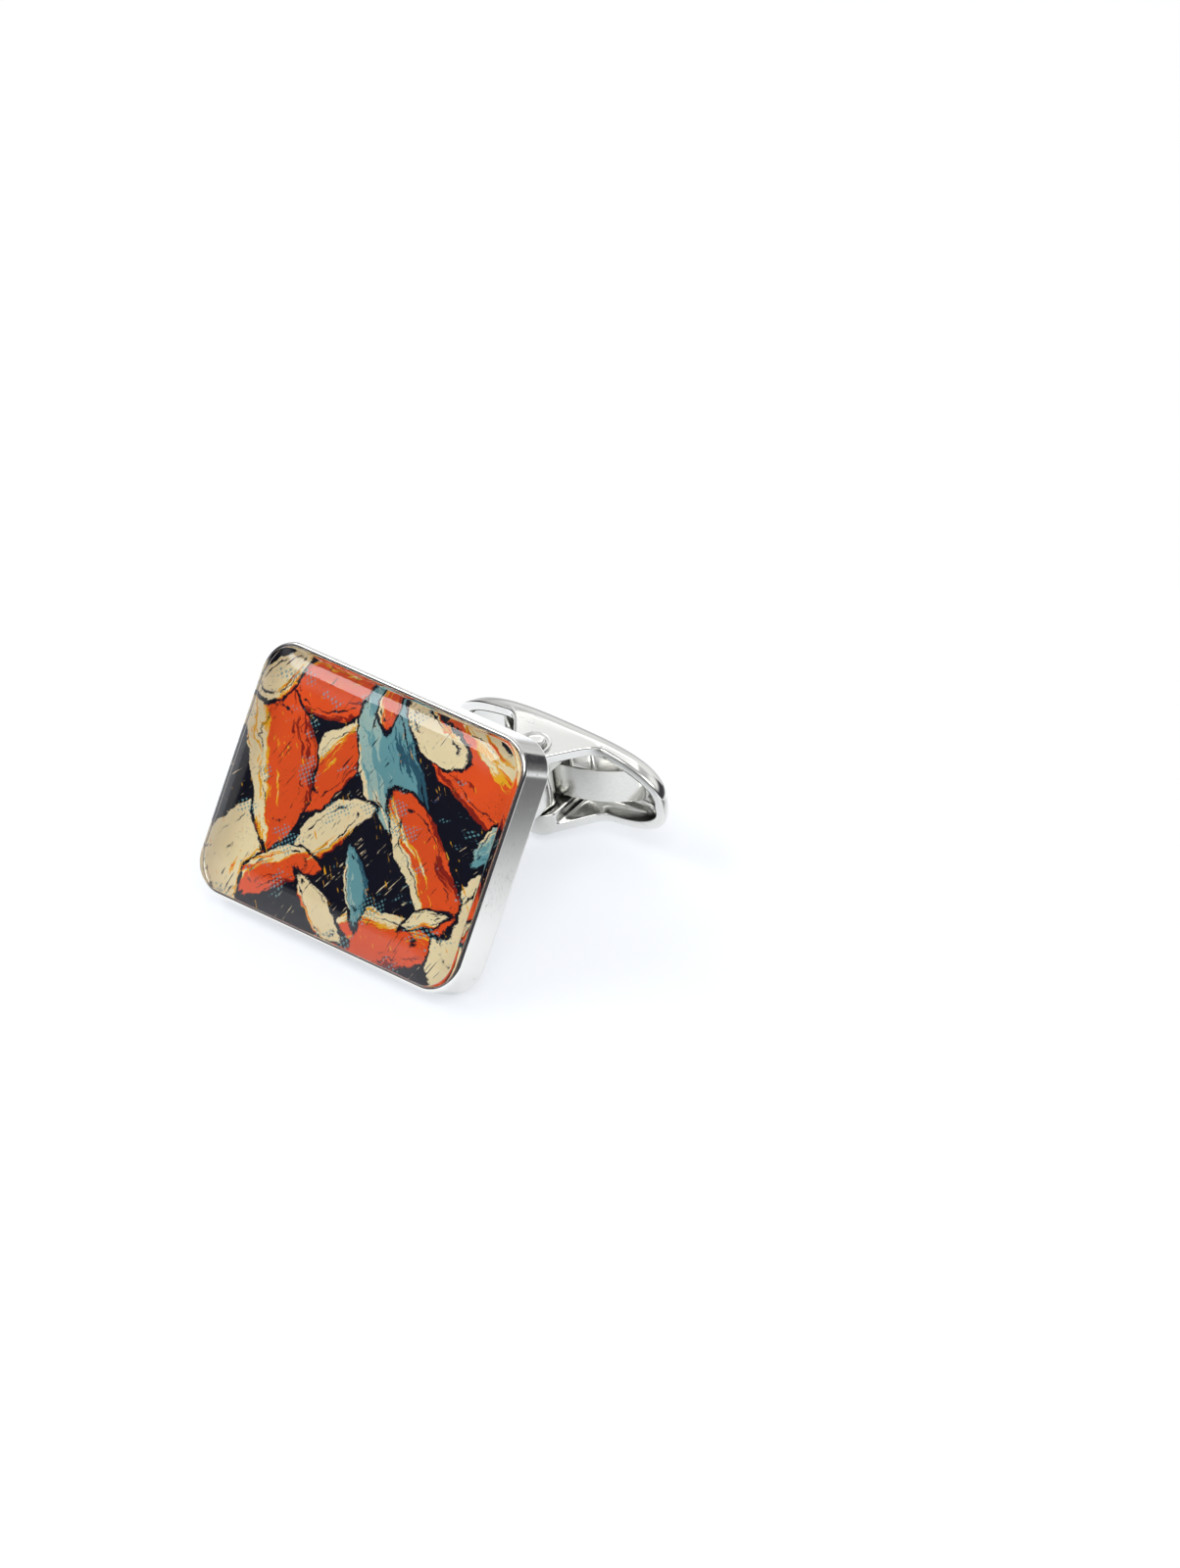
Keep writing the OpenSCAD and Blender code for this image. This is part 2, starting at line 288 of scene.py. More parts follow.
def rounding(r, steps):
    """Pairs along a rounded edge: the first falls from r to 0 while the second rises to r."""
    turns = [pi / 2 * i / steps for i in range(steps + 1)]
    return [(r * (1 - sin(turn)), r * (1 - cos(turn))) for turn in turns]


def rounded_ring(w, h, r, z, steps=14):
    """Closed ring round a rectangle with round corners."""
    ring = []
    for sx, sy, start in ((1, 1, 0), (-1, 1, 90), (-1, -1, 180), (1, -1, 270)):
        for i in range(steps + 1):
            turn = radians(start + 90 * i / steps)
            ring.append((sx * (w / 2 - r) + r * cos(turn), sy * (h / 2 - r) + r * sin(turn), z))
    return ring


def slab(w, h, r, profile):
    """Closed shell of a slab whose border follows a profile of insets and heights."""
    return loft([rounded_ring(w - 2 * d, h - 2 * d, max(r - d, SHARPEST), z) for d, z in profile])


def lathe(profile, steps=48):
    """Closed shell of a turned piece about y, from a profile of radii and places along y."""
    return loft([[(r * cos(2 * pi * i / steps), y, r * sin(2 * pi * i / steps))
                  for i in range(steps)] for r, y in profile], caps=False)


def curve(a, b, c, d, steps):
    """Points of a cubic curve, both ends included."""
    a, b, c, d = (np.array(p, float) for p in (a, b, c, d))
    return [tuple((1 - t) ** 3 * a + 3 * (1 - t) ** 2 * t * b + 3 * (1 - t) * t * t * c
                  + t ** 3 * d) for t in np.linspace(0, 1, steps + 1)]


def shifted(ring, d):
    """A closed flat ring moved to its left by d, with its corners kept sharp."""
    p = np.array(ring, float)
    before, after = p - np.roll(p, 1, 0), np.roll(p, -1, 0) - p
    before /= np.linalg.norm(before, axis=1)[:, None]
    after /= np.linalg.norm(after, axis=1)[:, None]
    left = np.stack([-(before + after)[:, 1], (before + after)[:, 0]], 1)
    left /= np.linalg.norm(left, axis=1)[:, None]
    reach = np.clip(np.sum(left * np.stack([-after[:, 1], after[:, 0]], 1), 1), 0.5, 1)
    return p + left * (d / reach)[:, None]


def fuller(value, power):
    """A sine or cosine that makes a section fuller than an ellipse."""
    return abs(value) ** power * (1 if value >= 0 else -1)


def soft(t):
    """Smooth step from 0 to 1."""
    t = min(max(t, 0), 1)
    return t * t * (3 - 2 * t)


# ---- node trees

def opaque(shade):
    """A colour with full alpha. A linked colour stays as it is."""
    return shade if isinstance(shade, bpy.types.NodeSocket) else (*shade[:3], 1)


def dimmed(shade, factor):
    """A colour made darker."""
    return tuple(factor * v for v in shade)


class Tree:
    """Short ways to add nodes to one node tree."""
    TONE_EDGE = 0.012
    NUMBERS = ("DISTANCE", "DOT_PRODUCT", "LENGTH")

    def __init__(self, tree):
        self.tree = tree

    def feed(self, socket, value):
        """Links a socket to another one, or sets its value."""
        if isinstance(value, bpy.types.NodeSocket):
            self.tree.links.new(value, socket)
        else:
            socket.default_value = value

    def node(self, kind, inputs=(), **settings):
        """A node with its settings, and its inputs by name or number set or linked."""
        node = self.tree.nodes.new(kind)
        for key, value in settings.items():
            setattr(node, key, value)
        for key, value in dict(inputs).items():
            self.feed(node.inputs[key], value)
        return node

    def math(self, operation, *values):
        """A Math node's result."""
        return self.node("ShaderNodeMath", dict(enumerate(values)), operation=operation).outputs[0]

    def times(self, *values):
        """Several values multiplied."""
        result = values[0]
        for value in values[1:]:
            result = self.math("MULTIPLY", result, value)
        return result

    def line(self, value, slope, start):
        """A value times a slope, with a start added."""
        return self.math("MULTIPLY_ADD", value, slope, start)

    def vector(self, operation, *values):
        """A Vector Math node's result, a number or a vector."""
        node = self.node("ShaderNodeVectorMath", dict(enumerate(values)), operation=operation)
        return node.outputs["Value" if operation in self.NUMBERS else "Vector"]

    def axes(self, where):
        """A place's X, Y and Z."""
        return self.node("ShaderNodeSeparateXYZ", {0: where}).outputs

    def mapped(self, where, scale, turn=(0, 0, 0), spot=(0, 0, 0), kind="POINT"):
        """A place in a frame that is scaled, turned and moved."""
        inputs = {"Vector": where, "Location": spot, "Rotation": turn, "Scale": scale}
        return self.node("ShaderNodeMapping", inputs, vector_type=kind).outputs[0]

    def noise(self, where, scale, detail=2, roughness=0.5, output="Fac"):
        """Noise over a place, as a number or a colour."""
        inputs = {"Vector": where, "Scale": scale, "Detail": detail, "Roughness": roughness}
        return self.node("ShaderNodeTexNoise", inputs).outputs[output]

    def ramp(self, value, low, high):
        """A smooth rise from 0 at low to 1 at high, or a fall where low is above high."""
        to = (0, 1) if low < high else (1, 0)
        inputs = dict(enumerate((value, min(low, high), max(low, high), *to)))
        return self.node("ShaderNodeMapRange", inputs, interpolation_type="SMOOTHSTEP").outputs[0]

    def mix(self, under, over, amount):
        """One colour laid over another."""
        inputs = {0: amount, 6: opaque(under), 7: opaque(over)}
        return self.node("ShaderNodeMix", inputs, data_type="RGBA").outputs[2]

    def levels(self, value, *stops):
        """Flat tones of a value, each starting at its place, like the tones of a cut print."""
        node = self.node("ShaderNodeValToRGB", {0: value})
        elements = node.color_ramp.elements
        elements.remove(elements[1])
        elements[0].position, elements[0].color = 0, opaque(stops[0][1])
        for (start, tone), (_, before) in zip(stops[1:], stops):
            for at, shade in ((start - self.TONE_EDGE, before), (start, tone)):
                elements.new(at).color = opaque(shade)
        return node.outputs["Color"]

    def reflected(self):
        """1 for rays that leave a shiny surface, and 0 for those that passed through glass."""
        path = self.node("ShaderNodeLightPath").outputs
        outside = self.math("SUBTRACT", 1, path["Is Transmission Ray"])
        return self.times(path["Is Glossy Ray"], outside)


class Paint(Tree):
    """The node tree of one material."""

    def __init__(self, name):
        self.material = bpy.data.materials.new(name)
        self.material.use_nodes = True
        super().__init__(self.material.node_tree)
        self.shader = self.tree.nodes["Principled BSDF"]

    def place(self):
        """The piece's own coordinates."""
        return self.node("ShaderNodeTexCoord").outputs["Object"]

    def use(self, **values):
        """Sets or links the shader's inputs; an underscore stands for a space."""
        for key, value in values.items():
            self.feed(self.shader.inputs[key.replace("_", " ")], value)
        return self.material

    def bump(self, height, distance, strength=1, under=None):
        """A Bump node's normal."""
        inputs = {"Height": height, "Distance": distance, "Strength": strength}
        if under is not None:
            inputs["Normal"] = under
        return self.node("ShaderNodeBump", inputs).outputs["Normal"]


# ---- materials

# Scales are waves in a metre, depths are metres.
WAVE_SCALE, WAVE_DEPTH = 260, 0.000006
SCUFF_SCALE, SCUFF_TURN = (1500, 9000, 1500), (0.3, 0.5, 0.8)
PIT_SCALE, PATCH_SCALE, WEAR_DEPTH = 2600, 330, 0.000003
CAST_SCALE, CAST_DEPTH = 2600, 0.00024
WORN_ROUGHNESS, CAST_ROUGHNESS, WORN_SHADE = 0.22, 0.2, 0.72
GRAIN_SCALE, GRAIN_DEPTH, GRAIN_SHADE, STEEL_ROUGHNESS = (900, 9000, 9000), 2e-6, 0.82, 0.22
GLASS_SCALE, GLASS_DEPTH, GLASS_SHADE, GLASS_IOR = 180, 0.0000012, 0.985, 1.5


def plated_metal(name, wear, cast=None):
    """Bright plating: faint waves, scuffs and pits, and a cast skin where an attribute is set."""
    finish = bpy.context.scene.cufflink_finish
    paint = Paint(name)
    where = paint.place()
    streaks = paint.mapped(where, SCUFF_SCALE, SCUFF_TURN)
    scuffs = paint.ramp(paint.noise(streaks, 1, 3, 0.6), 0.56, 0.72)
    pits = paint.ramp(paint.noise(where, PIT_SCALE, 3, 0.7), 0.6, 0.7)
    patches = paint.ramp(paint.noise(where, PATCH_SCALE, 3), 0.46, 0.62)
    worn = paint.times(paint.math("MAXIMUM", scuffs, pits), patches, wear)
    rough = paint.line(worn, WORN_ROUGHNESS, finish.plate_roughness)
    normal = paint.bump(paint.noise(where, WAVE_SCALE, 1), WAVE_DEPTH)
    normal = paint.bump(worn, -WEAR_DEPTH, 1, normal)
    if cast:
        skin = paint.node("ShaderNodeAttribute", attribute_name=cast).outputs["Fac"]
        rough = paint.line(skin, CAST_ROUGHNESS, rough)
        normal = paint.bump(paint.noise(where, CAST_SCALE, 4, 0.7), CAST_DEPTH, skin, normal)
    return paint.use(Base_Color=paint.mix(finish.plate, dimmed(finish.plate, WORN_SHADE), worn),
                     Metallic=1, Roughness=rough, Normal=normal)


def spring_steel():
    """Rolled spring steel with a fine grain along the leaf."""
    finish = bpy.context.scene.cufflink_finish
    paint = Paint("spring_steel")
    lines = paint.noise(paint.mapped(paint.place(), GRAIN_SCALE), 1, 3)
    shade = paint.mix(finish.steel, dimmed(finish.steel, GRAIN_SHADE), lines)
    return paint.use(Base_Color=shade, Metallic=1, Roughness=STEEL_ROUGHNESS,
                     Normal=paint.bump(lines, GRAIN_DEPTH))


def clear_adhesive():
    """Milky transfer tape under the print."""
    paint = Paint("clear_adhesive")
    cloud = paint.noise(paint.place(), 900, 3)
    return paint.use(Base_Color=paint.mix(ink(236, 233, 220), ink(214, 210, 196), cloud),
                     Roughness=0.45)


def lens_glass():
    """Clear polished lens with a trace of unevenness."""
    finish = bpy.context.scene.cufflink_finish
    paint = Paint("lens_glass")
    cloud = paint.noise(paint.place(), GLASS_SCALE)
    return paint.use(Base_Color=paint.mix(finish.glass, dimmed(finish.glass, GLASS_SHADE), cloud),
                     Transmission_Weight=1, IOR=GLASS_IOR, Roughness=0,
                     Normal=paint.bump(cloud, GLASS_DEPTH))


# The print is laid out in millimetres. Wavers: scale, detail and size. Leaves: place, half
# length, half width, turn in degrees, tones and bow.
WAVERS = ((0.42, 2, 1.3), (2.6, 3, 0.34))
LEAVES = (
    (7.8, 5, 5.6, 2.3, -28, "warm", 0.5), (-5.2, 6.6, 4.8, 1.9, 12, "warm", -0.4),
    (-8.6, -4.9, 5, 2, 68, "pale", 0.4), (3.4, -6.7, 5, 1.7, 14, "warm", 0.3),
    (-3.4, 2.6, 4.2, 1.8, 62, "warm", 0.3), (0.7, 3.4, 5.6, 2.5, 128, "cool", 0.3),
    (-7.4, 1.2, 5.6, 2.6, 112, "warm", -0.4), (9.3, -3.4, 4.6, 1.8, 74, "pale", 0.4),
    (5.2, -0.9, 4.9, 1.9, 134, "warm", -0.3), (-2.5, -1.7, 3.9, 1.4, 52, "pale", 0.5),
    (-5.2, -5.3, 3.4, 1.3, 30, "warm", 0.4), (3, 6.3, 3.2, 1.1, 160, "pale", 0.3),
    (-1.4, -6.6, 2.8, 0.8, -24, "pale", -0.3), (0.9, -4.2, 2.8, 0.9, 118, "cool", -0.3),
    (9.3, 1.9, 2.3, 0.8, 64, "cool", 0.2), (-9.5, 6, 2.1, 1, 60, "pale", 0.2),
    (-1.1, 6.9, 1.8, 0.8, 100, "warm", 0.2), (6.6, -4.4, 1.7, 0.6, 40, "pale", 0.3),
)
# Tones of a leaf from its shade to its light: where each starts, and its ink.
TONES = {
    "warm": ((0, "ground"), (0.15, "deep"), (0.27, "warm"), (0.63, "spark"), (0.68, "pale")),
    "cool": ((0, "ground"), (0.2, "cool_dark"), (0.34, "cool"), (0.62, "cool_light"),
             (0.74, "pale")),
    "pale": ((0, "ground"), (0.12, "deep"), (0.18, "warm"), (0.25, "spark"), (0.31, "pale")),
    "night": ((0, "night_dark"), (0.3, "ground"), (0.72, "night_light")),
}


class Print(Paint):
    """Abstract print of overlapping leaves in flat tones with ink lines."""

    def __init__(self, inks):
        super().__init__("printed_film")
        self.inks = inks
        self.flat = self.hand = self.node("ShaderNodeUVMap", uv_map="film").outputs[0]
        for scale, detail, size in WAVERS:
            wave = self.noise(self.flat, scale, detail, output="Color")
            wave = self.vector("SUBTRACT", wave, (0.5, 0.5, 0.5))
            self.hand = self.vector("MULTIPLY_ADD", wave, (size, size, 0), self.hand)
        self.nap = self.noise(self.flat, 9, 3, 0.7)
        self.rough = self.line(self.nap, 0.22, -0.11)

    def lie(self, where, x, y, long, wide, turn):
        """The frame of a motif that lies at x, y."""
        turn = radians(turn)
        return self.mapped(where, (long, wide, 1), (0, 0, turn), (x, y, 0), "TEXTURE")

    def strokes(self, turn, long, wide, low, high, x=0):
        """Brush strokes of about one length, where noise is over a level."""
        spot = self.lie(self.flat, x, x, long, wide, turn)
        return self.ramp(self.noise(spot, 1, 4, 0.62), low, high)

    def tones(self, value, name):
        """Flat tones in the inks of one list."""
        return self.levels(value, *((start, getattr(self.inks, key)) for start, key in TONES[name]))

    def leaf(self, under, x, y, long, wide, turn, tone, bow):
        """A bent leaf with an outline and an inner line, laid over a picture."""
        spot = self.lie(self.hand, x, y, long, wide, turn)
        axes = self.axes(spot)
        bent = self.line(self.times(axes["X"], axes["X"]), bow, axes["Y"])
        slim = self.math("POWER", self.math("ABSOLUTE", axes["X"]), 1.7)
        reach = self.math("SQRT", self.math("ADD", slim, self.times(bent, bent)))
        edge = self.math("ADD", self.line(reach, wide, -wide), self.rough)
        drag = self.noise(self.lie(spot, x + y, x - y, 0.85, 0.24, 0), 1, 4, 0.62)
        body = self.tones(self.line(drag, 0.85, self.line(bent, 0.3, 0.08)), tone)
        drawn = self.mix(under, body, self.ramp(edge, 0.03, -0.03))
        for inset, thick, thin in ((0, 0.3, -0.08), (0.3 * wide, 0.4, -0.19)):
            apart = self.math("ABSOLUTE", self.math("ADD", edge, inset))
            apart = self.math("SUBTRACT", apart, self.line(drag, thick, thin))
            drawn = self.mix(drawn, self.inks.ground, self.ramp(apart, 0.02, -0.02))
        return drawn

    def film(self):
        """Dull film with ground, streaks, leaves, sparks, ink strokes, a dot screen and nap."""
        inks = self.inks
        ground = self.noise(self.lie(self.hand, 0, 0, 4, 1.2, 35), 1, 4)
        drawn = self.tones(ground, "night")
        streaks = self.strokes(58, 2.6, 0.16, 0.6, 0.63)
        streaks = self.times(streaks, self.strokes(0, 3, 3, 0.5, 0.54, 7))
        drawn = self.mix(drawn, inks.pale, streaks)
        for leaf in LEAVES:
            drawn = self.leaf(drawn, *leaf)
        dots = self.vector("FRACTION", self.lie(self.flat, 0, 0, 0.26, 0.26, 40))
        screen = self.ramp(self.vector("DISTANCE", dots, (0.5, 0.5, 0)), 0.34, 0.28)
        for tone, *parts in (
                (inks.spark, self.strokes(124, 1.5, 0.26, 0.64, 0.66, 3),
                 self.strokes(0, 2.4, 2.4, 0.48, 0.52, 11)),
                (inks.ground, self.strokes(66, 2.3, 0.2, 0.62, 0.64, 5),
                 self.strokes(0, 3.6, 3.6, 0.46, 0.52, 2)),
                (inks.cool, screen, self.strokes(20, 3.4, 2, 0.56, 0.6, 9), 0.7),
                (inks.ground, self.ramp(self.nap, 0.6, 0.66),
                 self.strokes(0, 3, 3, 0.52, 0.6, 4))):
            drawn = self.mix(drawn, tone, self.times(*parts))
        return self.use(Base_Color=drawn, Roughness=0.5, Specular_IOR_Level=0)


def stage_floor():
    """Pale floor. Shiny surfaces see painted shade on it outwards, beside the case and under the
    toggle, and a painted glow near the cufflink.
    """
    stage = bpy.context.scene.cufflink_stage
    camera_share, painted_glow_strength, painted_shadow_share = 0.52, 0.49, 0.62
    paint = Paint("stage_floor")
    where = paint.place()
    floor = paint.mix(stage.floor, dimmed(stage.floor, 0.985), paint.noise(where, 6, 1))
    # Painted shade seen in reflections: the floor darkens further out, towards +X.
    right = paint.ramp(paint.axes(where)["X"], -0.06, 0.03)
    away = paint.times(paint.vector("LENGTH", where), right)
    # Painted reflection: a dark spot beside the case stands in for a dark neighbour seen in the
    # metal.
    beside = paint.vector("DISTANCE", where, (0.034, 0.018, 0))
    painted_shadow_spot = paint.vector("DISTANCE", where, (-0.001, -0.003, 0))
    painted_shade = paint.math("MAXIMUM", paint.ramp(away, 0.03, 0.14), paint.ramp(beside, 0.029, 0.008))
    # Painted shadow seen in reflections, on the floor under the toggle.
    under = paint.times(paint.ramp(painted_shadow_spot, 0.0135, 0.005), painted_shadow_share)
    painted_shade = paint.math("MAXIMUM", painted_shade, under)
    shine = paint.reflected()
    # Only shiny surfaces see the painted shade.
    floor = paint.mix(floor, stage.far_floor, paint.times(painted_shade, shine))
    seen = paint.node("ShaderNodeLightPath").outputs["Is Camera Ray"]
    floor = paint.mix(floor, dimmed(stage.floor, camera_share), seen)
    # Painted glow seen in reflections: the floor glows near the cufflink, less where it is painted
    # dark.
    painted_glow = paint.times(paint.line(painted_shade, -painted_glow_strength, painted_glow_strength), shine)
    return paint.use(Base_Color=floor, Roughness=0.9, Specular_IOR_Level=0,
                     Emission_Color=opaque(stage.lift),
                     Emission_Strength=paint.math("ADD", seen, painted_glow))


def dress(piece, body, material, slot, *nodes):
    """Gives a piece its material and the body it rides on, and hides the nodes it stands for.
    The slot is not used.
    """
    piece.data.materials.clear()
    piece.data.materials.append(material)
    for face in piece.data.polygons:
        face.material_index = 0
    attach(piece, body)
    if nodes:
        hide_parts(*nodes)
    return piece


def dress_node(name, material):
    """Gives a CAD node that keeps its own shape a better material."""
    node = frame["nodes"][name]
    if not node.data.materials:
        node.data.materials.append(material)
    for slot in node.material_slots:
        slot.material = material


# ---- operators

class BuildPiece(bpy.types.Operator):
    """Base of the operators that make one piece. CUFFLINK_OT_lens becomes cufflink.lens, Lens."""
    bl_options = {"REGISTER", "UNDO"}

    def __init_subclass__(cls):
        name = cls.__name__.split("_OT_")[1]
        cls.bl_idname, cls.bl_label = "cufflink." + name, name.replace("_", " ").capitalize()

    def execute(self, context):
        self.make(context)
        return {"FINISHED"}


class CUFFLINK_OT_case(BuildPiece):
    """Plated case: a shallow tray with round corners and a round back edge"""

    def make(self, context):
        s = context.scene.cufflink_face
        profile = rounding(s.back_edge_r, 8)
        profile += [(q, s.case_d - p) for p, q in rounding(s.rim_edge_r, 5)]
        profile += [(s.rim_t - p, s.case_d - q) for p, q in rounding(s.lip_r, 3)]
        profile += [(s.rim_t, s.back_t)]
        piece = build("case_shell", [slab(s.case_w, s.case_h, s.corner_r, profile)], face_place())
        dress(piece, "face", plated_metal("case_plate", 0.7), "case_plate", "case")


class CUFFLINK_OT_print_film(BuildPiece):
    """Printed film under the lens, on its adhesive"""

    def make(self, context):
        s = context.scene.cufflink_face
        off = s.rim_t + s.film_gap
        low = s.back_t + s.adhesive_t
        profile = [(0, low), (0, low + s.print_t)]
        place = face_place()
        sheet = slab(s.case_w - 2 * off, s.case_h - 2 * off, s.corner_r - off, profile)
        piece = build("picture_film", [sheet], place)
        back = place.inverted()
        layer = piece.data.uv_layers.new(name="film")
        for loop in piece.data.loops:
            spot = back @ piece.data.vertices[loop.vertex_index].co
            layer.data[loop.index].uv = (spot.x / MM, spot.y / MM)
        film = Print(context.scene.cufflink_print).film()
        dress(piece, "face", film, "printed_film", "print_film")
        dress_node("adhesive_pad", clear_adhesive())


class CUFFLINK_OT_lens(BuildPiece):
    """Clear lens with a flat table and a rounded border"""

    def rows(self, s):
        """Insets and heights up the side, over its edge and along the border's arc."""
        bend_steps, arc_steps = 6, 32
        low = s.back_t + s.adhesive_t + s.print_t - s.bond_t
        side, rise = s.case_d + s.lens_side, s.lens_proud - s.lens_side
        border_r = (s.lens_border_w ** 2 + rise ** 2) / (2 * rise)
        sweep = asin(s.lens_border_w / border_r)
        bend = pi / 2 - sweep
        tangent = side - s.lens_edge_r * tan(bend / 2)
        rows = [(p, low + q) for p, q in rounding(s.lens_foot_r, 3)]
        turns = [bend * i / bend_steps for i in range(bend_steps + 1)]
        rows += [(s.lens_edge_r * (1 - cos(turn)), tangent + s.lens_edge_r * sin(turn))
                 for turn in turns]
        arc = [sweep * (1 - i / arc_steps) for i in range(1, arc_steps + 1)]
        arc = [(s.lens_border_w - border_r * sin(angle), side + rise - border_r * (1 - cos(angle)))
               for angle in arc]
        return rows + [(d, z) for d, z in arc if d > rows[-1][0]]

    def make(self, context):
        s = context.scene.cufflink_face
        off = s.rim_t + s.lens_gap
        w, h, r = s.case_w - 2 * off, s.case_h - 2 * off, s.corner_r - off
        shrink = (s.lens_table_r - r) / s.lens_border_w
        rings = [rounded_ring(w - 2 * d, h - 2 * d, r + shrink * d, z) for d, z in self.rows(s)]
        piece = build("lens_glass_body", [loft(rings)], face_place(), 50)
        dress(piece, "face", lens_glass(), "lens_glass", "lens")


class CUFFLINK_OT_post(BuildPiece):
    """Flat cast post with its window, bent tongue, foot pad and braze beads"""
    # Width of a flat row beside the rounded edges, and distance of the ribs from them.
    FLAT_ROW, RIB_ROW = 0.00004, 0.0001
    # Turn at which the window's ribbed part ends, and the ribs' pitch.
    RIBS_END, RIB_PITCH = -0.45, 100
    # Braze beads in millimetres: place across, and half width, height and depth.
    BEADS = ((-0.3, 0.72, 0.36, 0.42), (0.38, 0.55, 0.3, 0.34))

    def outline(self, s, turn):
        """Outline of the post's side, as places behind the case and up the face."""
        def swivel(y, z):
            spot = turn @ Vector((0, y, z))
            return -spot.z, spot.y

        half, tongue_l, reach = s.tongue_w / 2, s.tongue_l, s.pin_reach
        top, low = s.root_h / 2 - s.root_drop, -s.root_h / 2 - s.root_drop
        ring = curve((0, low), (0.3 * reach, -0.62 * s.root_h), swivel(-half, 1.9 * tongue_l),
                     swivel(-half, tongue_l), 26)
        ring += [swivel(-half, tongue_l * 0.5), swivel(-half, 0), swivel(half, 0),
                 swivel(half, tongue_l * 0.5)]
        return ring + curve(swivel(half, tongue_l), swivel(half, 1.25 * tongue_l),
                            (0.35 * reach, 0.3 * s.root_h), (0, top), 26)

    def windows(self, s):
        """Outline of the window, plain and with fine ribs along its lower part."""
        plain, ribbed = [], []
        turns = [*np.linspace(-pi / 2, self.RIBS_END, 161),
                 *np.linspace(self.RIBS_END, pi / 2, 33)[1:]]
        for a in turns:
            fade = soft((-0.5 - a) / 0.3) * soft((a + 1.5) / 0.15)
            ribs = 1 + s.rib_share * sin(self.RIB_PITCH * a) * fade
            for outline, grow in ((plain, 1), (ribbed, ribs)):
                outline.append((s.window_start + s.window_l * cos(a) * grow,
                                s.window_h / 2 * sin(a) * grow - s.window_drop))
        return plain, ribbed

    def plate(self, s, turn):
        """Closed shell of the flat post round its window, with rounded long edges."""
        def row(outline, x):
            return [(x, up, -behind) for behind, up in outline]

        window, ribbed = self.windows(s)
        half_t = s.post_t / 2
        rows = [(s.edge_r + self.FLAT_ROW, -half_t)]
        rows += [(p, q - half_t) for p, q in rounding(s.edge_r, 5)]
        middle = len(rows)
        rows += [(d, -x) for d, x in rows[::-1]]
        inner = half_t - s.edge_r - self.RIB_ROW
        points, faces, first, last = [], [], [], []
        ribs = [row(ribbed, x) for x in (-inner, inner)]
        for outline, side, between in ((self.outline(s, turn), 1, []), (window, -1, ribs)):
            skins = [row(shifted(outline, side * d), x) for d, x in rows]
            skins[middle:middle] = between
            shell, skin = loft(skins, caps=False)
            start, count = len(points), len(outline)
            points += shell
            faces += [tuple(start + i for i in f) for f in skin]
            first.append(range(start, start + count))
            last.append(range(len(points) - count, len(points)))
        for borders in (first, last):
            loops = [[Vector((*points[i][1:], 0)) for i in border] for border in borders]
            index = [i for border in borders for i in border]
            faces += [tuple(index[i] for i in tri) for tri in tessellate_polygon(loops)]
        return points, faces

    def tongue(self, s, turn):
        """Closed shell of the tongue's round end."""
        half = s.tongue_w / 2
        profile = [(0, -half)]
        profile += [(s.post_t / 2 - p, -half + q) for p, q in rounding(s.tongue_edge_r, 4)]
        profile += [(r, -y) for r, y in profile[::-1]]
        points, faces = lathe(profile)
        return [tuple(turn @ Vector(p)) for p in points], faces

    def foot(self, s):
        """Closed shell of the foot pad."""
        profile = [(0, 0)]
        profile += [(q, -s.foot_t + p) for p, q in rounding(s.foot_edge_r, 4)]
        margin = 2 * s.foot_margin
        points, faces = slab(s.post_t + margin, s.root_h + margin, s.foot_r, profile)
        return [(x, y - s.root_drop, z) for x, y, z in points], faces

    def beads(self, s):
        """Closed shells of the braze beads over the root."""
        top = s.root_h / 2 - s.root_drop
        points, faces = lathe([(sin(a), cos(a)) for a in np.linspace(0, pi, 17)], 24)
        return [([((x * wide + side) * MM, (y * tall + 0.1) * MM + top,
                   z * deep * MM - s.foot_t * 0.8) for x, y, z in points], faces)
                for side, wide, tall, deep in self.BEADS]

    def cast_skin(self, s, spot):
        """Roughness of the casting: high on its upper edge, slight in the window."""
        behind, up, slack = -spot.z, spot.y, 1e-5
        rim = soft((0.97 * MM - abs(spot.x)) / (0.2 * MM))
        edge = soft((up - (2.1 * MM - 0.02 * behind)) / (0.5 * MM)) * \
            soft((behind - 3 * MM) / (4 * MM)) * soft((12.5 * MM - behind) / (1.5 * MM))
        inside = -slack < behind - s.window_start < s.window_l + slack and \
            abs(up + s.window_drop) < s.window_h / 2 + slack
        return rim * max(edge, 0.1 * inside)

    def make(self, context):
        s = context.scene.cufflink_post
        place = face_place()
        back = place.inverted()
        turn = back @ swivel_place()
        shells = [self.plate(s, turn), self.tongue(s, turn), self.foot(s), *self.beads(s)]
        piece = build("windowed_post", shells, place, 40)
        skin = piece.data.attributes.new("cast_skin", "FLOAT", "POINT")
        for vertex, entry in zip(piece.data.vertices, skin.data):
            entry.value = self.cast_skin(s, back @ vertex.co)
        dress(piece, "face", plated_metal("post_plate", 0.6, "cast_skin"), "post_plate", "post")


